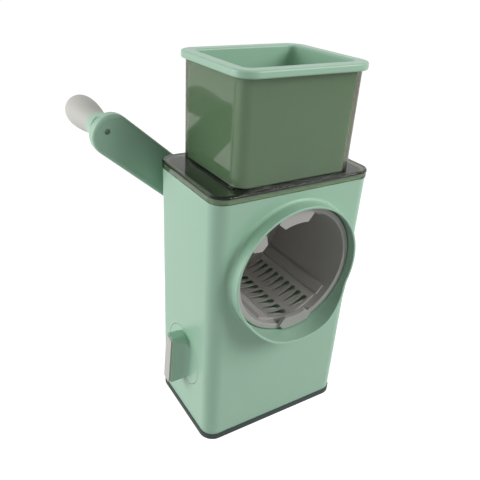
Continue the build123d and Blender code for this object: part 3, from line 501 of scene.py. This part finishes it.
def plate_form():
    """Shredding plate: a flat sheet with two columns of punched teeth, thickened and bent.

    The slots are 0.6 mm wider than the solid's, and the gaps 0.4 mm, so that they look open."""
    tree, given = new_form("punched plate", (
        "Radius", "Thickness", "Length", "Middle", "Plate Angle", "Centre", "Axis Height", "Pitch", "Slot",
        "Cut", "Rear Gap", "Rise", "Tooth Angle", "Spine Angle"), ("Teeth",))
    half = {}
    for name in ("Pitch", "Slot", "Plate Angle", "Tooth Angle", "Spine Angle"):
        halved = add_node(tree, "ShaderNodeMath", {0: given[name], 1: 0.5}, operation="MULTIPLY")
        half[name] = halved.outputs[0]
    block = add_node(tree, "ShaderNodeMath", {
        0: given["Teeth"], 1: given["Pitch"]}, operation="MULTIPLY").outputs[0]
    flat = tooth_columns(tree, given, half, block) + plain_strips(tree, given, half, block)
    real = [add_node(tree, "GeometryNodeRealizeInstances", {0: shape}).outputs[0] for shape in flat]
    sheet = join_shapes(tree, real)
    raised = add_node(tree, "GeometryNodeExtrudeMesh", {
        "Mesh": sheet, "Offset": (0, 0, 1), "Offset Scale": given["Thickness"], "Individual": False})
    under = add_node(tree, "GeometryNodeFlipFaces", {0: sheet})
    solid = join_shapes(tree, (raised.outputs[0], under.outputs[0]))
    end_form(tree, given, bend_round_drum(tree, given, solid))
    return tree


def spring_form():
    """Return spring: round wire along a helix, closed at its ends."""
    tree, given = new_form("coil spring", ("Radius", "Wire", "Height", "Turns", "Bottom"), ())
    helix = add_node(tree, "GeometryNodeCurveSpiral", {
        "Resolution": 40, "Rotations": given["Turns"], "Start Radius": given["Radius"],
        "End Radius": given["Radius"], "Height": given["Height"]})
    wire = add_node(tree, "GeometryNodeCurvePrimitiveCircle", {"Resolution": 12, "Radius": given["Wire"]})
    coil = add_node(tree, "GeometryNodeCurveToMesh", {
        "Curve": helix.outputs[0], "Profile Curve": wire.outputs[0], "Fill Caps": True})
    lift = add_node(tree, "ShaderNodeCombineXYZ", {"Z": given["Bottom"]})
    coil = add_node(tree, "GeometryNodeTransform", {
        "Geometry": coil.outputs[0], "Translation": lift.outputs[0]})
    end_form(tree, given, coil.outputs[0])
    return tree


# ---- pieces ------------------------------------------------------------------------------------
def apply_modifiers(piece):
    """Turns a piece with its modifiers into a plain mesh."""
    bpy.context.view_layer.update()
    evaluated = piece.evaluated_get(bpy.context.evaluated_depsgraph_get())
    mesh = bpy.data.meshes.new_from_object(evaluated)
    piece.modifiers.clear()
    piece.data = mesh


def smooth_faces(mesh, sharp):
    """Smooth shading that keeps edges sharper than sharp, in degrees."""
    mesh.polygons.foreach_set("use_smooth", [True] * len(mesh.polygons))
    mesh.set_sharp_from_angle(angle=math.radians(sharp))


def merged_mesh(node):
    """Copy of a CAD node's mesh with its corners merged and its flat faces joined."""
    shape = bmesh.new()
    shape.from_mesh(frame["nodes"][node].data)
    bmesh.ops.remove_doubles(shape, verts=shape.verts, dist=0.001 * MM)
    bmesh.ops.dissolve_limit(shape, angle_limit=math.radians(0.2), verts=shape.verts, edges=shape.edges)
    mesh = bpy.data.meshes.new(node)
    shape.to_mesh(mesh)
    shape.free()
    return mesh


def round_edges(mesh, width, sharp, near):
    """Rounds the edges sharper than sharp, in degrees, where near picks both their ends."""
    shape = bmesh.new()
    shape.from_mesh(mesh)
    edges = [edge for edge in shape.edges
             if edge.calc_face_angle(0) > math.radians(sharp) and all(near(v.co) for v in edge.verts)]
    bmesh.ops.bevel(shape, geom=edges, offset=width, offset_type="OFFSET", segments=3, profile=0.5,
                    affect="EDGES", clamp_overlap=True)
    shape.to_mesh(mesh)
    shape.free()


def new_piece(name, mesh, slot):
    """Object at the origin with one finish."""
    piece = bpy.data.objects.new(name, mesh)
    bpy.context.scene.collection.objects.link(piece)
    mesh.materials.clear()
    mesh.materials.append(finish_of(slot))
    return piece


def dress(node, edge=0.0, sharp=32, near=lambda point: True):
    """Shows a CAD node as a smooth copy in its finish, with its sharp edges rounded where near picks."""
    slot = slot_of(node)
    mesh = merged_mesh(node)
    if edge:
        round_edges(mesh, edge, sharp, near)
    smooth_faces(mesh, sharp)
    piece = new_piece(node + "_dressed", mesh, slot)
    shading = piece.modifiers.new("flat faces stay flat", "WEIGHTED_NORMAL")
    shading.keep_sharp = True
    apply_modifiers(piece)
    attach(piece, body_of(node))
    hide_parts(node)


def grow(node, tree, values):
    """Piece that a Geometry Nodes tree makes in place of a CAD node."""
    slot = slot_of(node)
    piece = new_piece(node + "_formed", bpy.data.meshes.new(node), slot)
    form = piece.modifiers.new(tree.name, "NODES")
    form.node_group = tree
    for item in tree.interface.items_tree:
        if item.in_out == "INPUT":
            form[item.identifier] = finish_of(slot) if item.name == "Finish" else values[item.name]
    apply_modifiers(piece)
    piece.data.materials.clear()
    piece.data.materials.append(finish_of(slot))
    smooth_faces(piece.data, 32)
    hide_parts(node)
    return piece


def paint(*nodes):
    """Gives CAD nodes that stay as they are their finish."""
    for node in nodes:
        mesh = frame["nodes"][node].data
        mesh.materials.clear()
        mesh.materials.append(finish_of(slot_of(node)))


def on_pad_boss(face):
    """Whether a face of the suction pad is on its boss, which the stem holds."""
    return all(v.co.z > PAD_MEMBRANE - PAD_MARGIN and v.co.xy.length < PAD_BOSS_RADIUS + PAD_MARGIN
               for v in face.verts)


def part_of_pad(name, wanted):
    """Copy of the suction pad that keeps only the faces that wanted picks."""
    shape = bmesh.new()
    shape.from_mesh(merged_mesh("suction_pad"))
    unwanted = [face for face in shape.faces if not wanted(face)]
    bmesh.ops.delete(shape, geom=unwanted, context="FACES")
    mesh = bpy.data.meshes.new(name)
    shape.to_mesh(mesh)
    shape.free()
    smooth_faces(mesh, 32)
    piece = new_piece(name, mesh, "rubber")
    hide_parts("suction_pad")
    return piece


class ShredderOperator:
    """What all the shredder's operators share."""
    bl_options = {"REGISTER", "UNDO"}


class SHREDDER_OT_tower(ShredderOperator, bpy.types.Operator):
    """Moulded tower with its drum chamber and spouted throat"""
    bl_idname = "shredder.tower"
    bl_label = "Tower and throat"

    def execute(self, context):
        dress("housing")
        dress("drum_chamber", settings("sizes").throat_edge,
              near=lambda point: point.y < LIP_START)
        return {"FINISHED"}


class SHREDDER_OT_drum(ShredderOperator, bpy.types.Operator):
    """Moulded ring, wall and hub of the drum"""
    bl_idname = "shredder.drum"
    bl_label = "Drum"

    def execute(self, context):
        for node in ("drum_collar", "drum_frame", "drum_hub"):
            dress(node)
        return {"FINISHED"}


class SHREDDER_OT_plates(ShredderOperator, bpy.types.Operator):
    """Shredding plates with their punched teeth"""
    bl_idname = "shredder.plates"
    bl_label = "Shredding plates"

    def execute(self, context):
        sizes = settings("sizes")
        tree = plate_form()
        for place, half_turn in (("lower", 0), ("upper", math.pi)):
            plate = grow("shredding_plate_" + place, tree, {
                "Radius": sizes.plate_radius, "Thickness": sizes.plate_thickness,
                "Length": PLATE_HIGH.y - PLATE_LOW.y, "Middle": (PLATE_HIGH.y + PLATE_LOW.y) / 2,
                "Plate Angle": sizes.plate_angle, "Centre": sizes.plate_centre + half_turn,
                "Axis Height": DRUM_AXIS, "Teeth": sizes.tooth_count, "Pitch": sizes.tooth_pitch,
                "Slot": sizes.tooth_slot, "Cut": sizes.tooth_cut, "Rear Gap": sizes.tooth_gap,
                "Rise": sizes.tooth_rise, "Tooth Angle": sizes.tooth_angle,
                "Spine Angle": sizes.spine_angle})
            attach(plate, "drum")
        return {"FINISHED"}


class SHREDDER_OT_crank(ShredderOperator, bpy.types.Operator):
    """Crank arm, its cap and the steel of the drive"""
    bl_idname = "shredder.crank"
    bl_label = "Crank"

    def execute(self, context):
        dress("crank_arm", sharp=40)
        dress("hub_cap", sharp=40)
        dress("grip_screw")
        paint("crank_shaft", "hub_screw", "grip_spindle", "thrust_washer", "rear_bush")
        return {"FINISHED"}


class SHREDDER_OT_grip(ShredderOperator, bpy.types.Operator):
    """Waisted grip"""
    bl_idname = "shredder.grip"
    bl_label = "Grip"

    def execute(self, context):
        dress("grip", sharp=50)
        return {"FINISHED"}


class SHREDDER_OT_hopper(ShredderOperator, bpy.types.Operator):
    """Tinted clear hopper"""
    bl_idname = "shredder.hopper"
    bl_label = "Hopper"

    def execute(self, context):
        dress("hopper", settings("sizes").clear_edge)
        return {"FINISHED"}


class SHREDDER_OT_pusher(ShredderOperator, bpy.types.Operator):
    """Moulded pusher cup"""
    bl_idname = "shredder.pusher"
    bl_label = "Pusher"

    def execute(self, context):
        dress("pusher", sharp=40)
        return {"FINISHED"}


class SHREDDER_OT_knob(ShredderOperator, bpy.types.Operator):
    """Suction knob and its insert"""
    bl_idname = "shredder.knob"
    bl_label = "Suction knob"

    def execute(self, context):
        edge = settings("sizes").knob_edge
        dress("suction_knob", edge)
        dress("knob_insert", edge)
        paint("cam_shaft")
        return {"FINISHED"}


class SHREDDER_OT_base(ShredderOperator, bpy.types.Operator):
    """Suction pad, stem, return spring, base plate and screws"""
    bl_idname = "shredder.base"
    bl_label = "Suction base"

    def execute(self, context):
        sizes = settings("sizes")
        # The pad's middle rises with the stem while its rim stays on the worktop; here the rim goes with the
        # housing and the middle is kept as a piece of its own
        rim = part_of_pad("pad_rim", lambda face: not on_pad_boss(face))
        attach(rim, "housing")
        boss = part_of_pad("pad_boss", on_pad_boss)
        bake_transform(boss)
        wire = sizes.spring_wire
        spring = grow("return_spring", spring_form(), {
            "Radius": SPRING_HIGH.x - wire, "Wire": wire, "Turns": sizes.spring_turns,
            "Height": SPRING_HIGH.z - SPRING_LOW.z - 2 * wire, "Bottom": SPRING_LOW.z + wire})
        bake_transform(spring)
        paint("suction_stem", "base_plate", "base_screws")
        return {"FINISHED"}


# ---- stage -------------------------------------------------------------------------------------
def seen_rays(tree):
    """1 for the rays that show the background: camera, glossy and transmission rays."""
    ray = add_node(tree, "ShaderNodeLightPath")
    first = add_node(tree, "ShaderNodeMath", {
        0: ray.outputs["Is Camera Ray"], 1: ray.outputs["Is Glossy Ray"]}, operation="MAXIMUM")
    both = add_node(tree, "ShaderNodeMath", {
        0: first.outputs[0], 1: ray.outputs["Is Transmission Ray"]}, operation="MAXIMUM")
    return both.outputs[0]


def make_floor():
    """White table that stays white to the camera and keeps the object's soft shadow."""
    bpy.ops.mesh.primitive_plane_add(size=FLOOR_SIZE)
    floor = bpy.context.object
    floor.name = "floor"
    material, tree = new_material("white table")
    seen = seen_rays(tree)
    table = add_node(tree, "ShaderNodeBsdfDiffuse", {"Color": FLOOR_BOUNCE})
    shaded = add_node(tree, "ShaderNodeBsdfDiffuse", {"Color": FLOOR_SHADED})
    glow = add_node(tree, "ShaderNodeEmission", {"Color": (1, 1, 1, 1), "Strength": FLOOR_GLOW})
    white = add_node(tree, "ShaderNodeAddShader", {0: shaded.outputs[0], 1: glow.outputs[0]})
    both = add_node(tree, "ShaderNodeMixShader", {0: seen, 1: table.outputs[0], 2: white.outputs[0]})
    finish_material(tree, both.outputs[0])
    floor.data.materials.append(material)


def make_world():
    """Even white light that the camera sees as pure white."""
    world = bpy.data.worlds.new("studio")
    bpy.context.scene.world = world
    world.use_nodes = True
    tree = world.node_tree
    tree.nodes.clear()
    seen = seen_rays(tree)
    strength = add_node(tree, "ShaderNodeMapRange", {
        "Value": seen, "To Min": settings("stage").world_light, "To Max": 1.0})
    light = add_node(tree, "ShaderNodeBackground", {
        "Color": (1, 1, 1, 1), "Strength": strength.outputs["Result"]})
    add_node(tree, "ShaderNodeOutputWorld", {"Surface": light.outputs[0]})


def make_lamp(name, place, size, power):
    """Softbox that faces the middle of the object."""
    lamp = bpy.data.lights.new(name, "AREA")
    lamp.size = size
    lamp.energy = power
    softbox = bpy.data.objects.new(name, lamp)
    bpy.context.scene.collection.objects.link(softbox)
    middle = Vector((0, 0, DRUM_AXIS))
    softbox.location = place
    softbox.rotation_euler = (middle - Vector(place)).to_track_quat("-Z", "Y").to_euler()


def make_camera():
    """Camera at the photograph's viewing angle."""
    stage = settings("stage")
    turn, rise, roll = stage.azimuth, stage.elevation, stage.roll
    back = Vector((math.sin(turn) * math.cos(rise), -math.cos(turn) * math.cos(rise), math.sin(rise)))
    right = Vector((math.cos(turn), math.sin(turn), 0))
    up = back.cross(right)
    across = right * math.cos(roll) + up * math.sin(roll)
    upward = up * math.cos(roll) - right * math.sin(roll)
    data = bpy.data.cameras.new("camera")
    camera = bpy.data.objects.new("camera", data)
    bpy.context.scene.collection.objects.link(camera)
    data.sensor_width = 36
    data.lens = stage.focal_pixels / IMAGE_SIZE * data.sensor_width
    data.shift_x = (IMAGE_SIZE / 2 - stage.centre_x) / IMAGE_SIZE
    data.shift_y = (stage.centre_y - IMAGE_SIZE / 2) / IMAGE_SIZE
    data.clip_start = 0.01
    place = right * stage.side_step + Vector((0, 0, stage.look_height)) + back * stage.distance
    camera.matrix_world = Matrix((
        (across.x, upward.x, back.x, place.x),
        (across.y, upward.y, back.y, place.y),
        (across.z, upward.z, back.z, place.z),
        (0, 0, 0, 1)))
    bpy.context.scene.camera = camera


class SHREDDER_OT_stage(ShredderOperator, bpy.types.Operator):
    """Floor, even light, softboxes and the photograph's camera"""
    bl_idname = "shredder.stage"
    bl_label = "Stage"

    def execute(self, context):
        make_floor()
        make_world()
        make_lamp("left softbox", LEFT_SOFTBOX, LEFT_SOFTBOX_SIZE, settings("stage").key_light)
        make_lamp("front softbox", FRONT_SOFTBOX, FRONT_SOFTBOX_SIZE, settings("stage").fill_light)
        make_camera()
        context.scene.view_settings.view_transform = "Standard"
        return {"FINISHED"}


PIECES = (
    SHREDDER_OT_tower,
    SHREDDER_OT_drum,
    SHREDDER_OT_plates,
    SHREDDER_OT_crank,
    SHREDDER_OT_grip,
    SHREDDER_OT_hopper,
    SHREDDER_OT_pusher,
    SHREDDER_OT_knob,
    SHREDDER_OT_base,
    SHREDDER_OT_stage,
)
GROUPS = {"finish": ShredderFinish, "sizes": ShredderSizes, "stage": ShredderStage}


class SHREDDER_PT_pieces(bpy.types.Panel):
    """Lists the shredder's pieces"""
    bl_idname = "SHREDDER_PT_pieces"
    bl_label = "Shredder"
    bl_space_type = "VIEW_3D"
    bl_region_type = "UI"
    bl_category = "Shredder"

    def draw(self, context):
        for piece in PIECES:
            self.layout.operator(piece.bl_idname)
        for group in GROUPS:
            box = self.layout.box()
            for name in GROUPS[group].__annotations__:
                box.prop(settings(group), name)


def register():
    for group, kind in GROUPS.items():
        bpy.utils.register_class(kind)
        setattr(bpy.types.Scene, "shredder_" + group, bpy.props.PointerProperty(type=kind))
    for kind in (*PIECES, SHREDDER_PT_pieces):
        bpy.utils.register_class(kind)


def unregister():
    for kind in (SHREDDER_PT_pieces, *reversed(PIECES)):
        bpy.utils.unregister_class(kind)
    for group, kind in GROUPS.items():
        delattr(bpy.types.Scene, "shredder_" + group)
        bpy.utils.unregister_class(kind)


def main():
    """Dresses the whole shredder."""
    register()
    bpy.ops.shredder.tower()
    bpy.ops.shredder.drum()
    bpy.ops.shredder.plates()
    bpy.ops.shredder.crank()
    bpy.ops.shredder.grip()
    bpy.ops.shredder.hopper()
    bpy.ops.shredder.pusher()
    bpy.ops.shredder.knob()
    bpy.ops.shredder.base()
    bpy.ops.shredder.stage()


if __name__ == "__main__":
    main()
